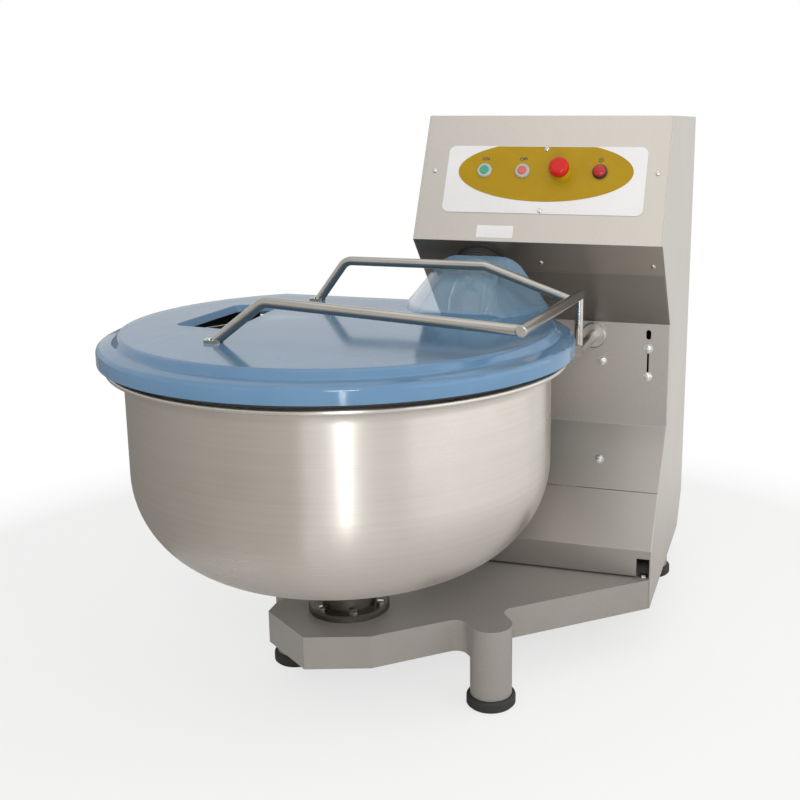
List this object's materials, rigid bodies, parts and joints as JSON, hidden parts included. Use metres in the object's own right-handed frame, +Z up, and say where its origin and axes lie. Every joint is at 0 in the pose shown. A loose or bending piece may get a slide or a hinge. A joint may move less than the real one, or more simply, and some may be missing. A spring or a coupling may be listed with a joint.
{
  "type": "dough mixer",
  "caption": "Fork dough mixer: free-turning dished bowl on a footed base, slanted fork arm from a column with sloped controls, and a hinged moulded lid in a tube frame.",
  "frame": {"origin": "middle of the overall footprint on the floor", "axes": "+Z up, +Y from the operator to the column's back, +X to the operator's right"},
  "size_m": [0.9539, 1.28, 1.071],
  "materials": {
    "stainless_satin": "satin spun stainless",
    "panel_grey": "satin warm grey paint",
    "sheet_steel": "brushed stainless sheet",
    "rubber_black": "matt",
    "steel_polished": "polished stainless tube",
    "steel_machined": "turned",
    "zinc_fastener": "bright zinc",
    "steel_bracket": "satin dark grey",
    "cast_housing": "painted casting",
    "pulley_aluminium": "turned",
    "wheel_bronze": "cut bronze",
    "lid_blue": "glossy moulded plastic",
    "plate_white": "printed plate",
    "field_gold": "satin printed field",
    "bezel_grey": "satin",
    "start_green": "gloss",
    "stop_pink": "gloss",
    "estop_yellow": "gloss",
    "estop_red": "gloss",
    "lamp_red": "clear lens",
    "trim_black": "matt",
    "box_grey": "matt"
  },
  "bodies": {
    "frame": {"base_frame": "panel_grey", "right_front_leg": "panel_grey", "left_front_leg": "panel_grey", "rear_legs": "panel_grey", "rubber_feet": "rubber_black", "left_side_panel": "sheet_steel", "right_side_panel": "sheet_steel", "console_fascia": "sheet_steel", "recess_panel": "sheet_steel", "kick_panel": "sheet_steel", "rear_cover": "sheet_steel", "panel_screws": "zinc_fastener", "wall_bolts": "zinc_fastener", "control_plate": "plate_white", "oval_field": "field_gold", "button_bezels": "bezel_grey", "estop_collar": "estop_yellow", "lamp_bezel": "trim_black", "lamp_lens": "lamp_red", "contact_blocks": "trim_black", "spindle_bearings": "steel_machined", "bearing_housing": "steel_machined", "hub_bolts": "zinc_fastener", "shaft_seal": "rubber_black", "fork_bearings": "steel_machined", "gearbox_casing": "cast_housing", "gearbox_cover": "cast_housing", "gearbox_stand": "steel_bracket", "worm_bearings": "steel_machined", "drive_belts": "rubber_black", "motor_housing": "cast_housing", "fan_cover": "steel_bracket", "motor_mount": "steel_bracket", "pivot_flange": "steel_machined", "pivot_bracket": "steel_bracket", "limit_switch": "trim_black", "electrical_box": "box_grey", "cable_gland": "trim_black"},
    "bowl_unit": {"bowl": "stainless_satin", "bowl_hub": "steel_machined", "bowl_spindle": "steel_machined", "spindle_nut": "steel_machined"},
    "fork_unit": {"kneading_fork": "steel_polished", "clamp_bolt": "zinc_fastener", "fork_shaft": "steel_machined", "worm_wheel": "wheel_bronze"},
    "worm_unit": {"worm_shaft": "steel_machined", "driven_pulley": "pulley_aluminium"},
    "rotor_unit": {"motor_shaft": "steel_machined", "motor_pulley": "pulley_aluminium"},
    "lid_unit": {"lid_shell": "lid_blue", "near_lid_tube": "steel_polished", "far_lid_tube": "steel_polished", "hinge_tube": "steel_polished", "hinge_post": "steel_polished", "lid_screws": "zinc_fastener", "pivot_shaft": "steel_polished"},
    "start_unit": {"start_button": "start_green"},
    "stop_unit": {"stop_button": "stop_pink"},
    "estop_unit": {"estop_button": "estop_red"}
  },
  "joints": [
    {"name": "bowl_spin", "type": "hinge", "parent": "frame", "child": "bowl_unit", "pos_m": [-0.057, -0.22, 0.23], "axis": [0, 0, 1], "continuous": true},
    {"name": "fork_spin", "type": "hinge", "parent": "frame", "child": "fork_unit", "pos_m": [0.108, 0.11828, 0.78307], "axis": [0, -0.7254, -0.6884], "continuous": true},
    {"name": "worm_spin", "type": "hinge", "parent": "frame", "child": "worm_unit", "pos_m": [0.41, 0.35448, 0.87266], "axis": [1, 0, 0], "continuous": true},
    {"name": "rotor_spin", "type": "hinge", "parent": "frame", "child": "rotor_unit", "pos_m": [0.41, 0.43, 0.33], "axis": [1, 0, 0], "continuous": true},
    {"name": "lid_hinge", "type": "hinge", "parent": "frame", "child": "lid_unit", "pos_m": [0.317, 0.08129, 0.617], "axis": [0, 1, 0], "range_deg": [0, 85]},
    {"name": "start_press", "type": "slide", "parent": "frame", "child": "start_unit", "axis": [0, 0.9011, -0.4337], "range_m": [0, 0.004], "stiffness_N_per_m": 400, "springref_m": -0.002},
    {"name": "stop_press", "type": "slide", "parent": "frame", "child": "stop_unit", "axis": [0, 0.9011, -0.4337], "range_m": [0, 0.004], "stiffness_N_per_m": 400, "springref_m": -0.002},
    {"name": "estop_press", "type": "slide", "parent": "frame", "child": "estop_unit", "axis": [0, 0.9011, -0.4337], "range_m": [0, 0.005], "stiffness_N_per_m": 800, "springref_m": -0.002}
  ],
  "couplings": [
    {"joint": "worm_spin", "follows": "fork_spin", "ratio": 10},
    {"joint": "rotor_spin", "follows": "fork_spin", "ratio": 27.532}
  ]
}
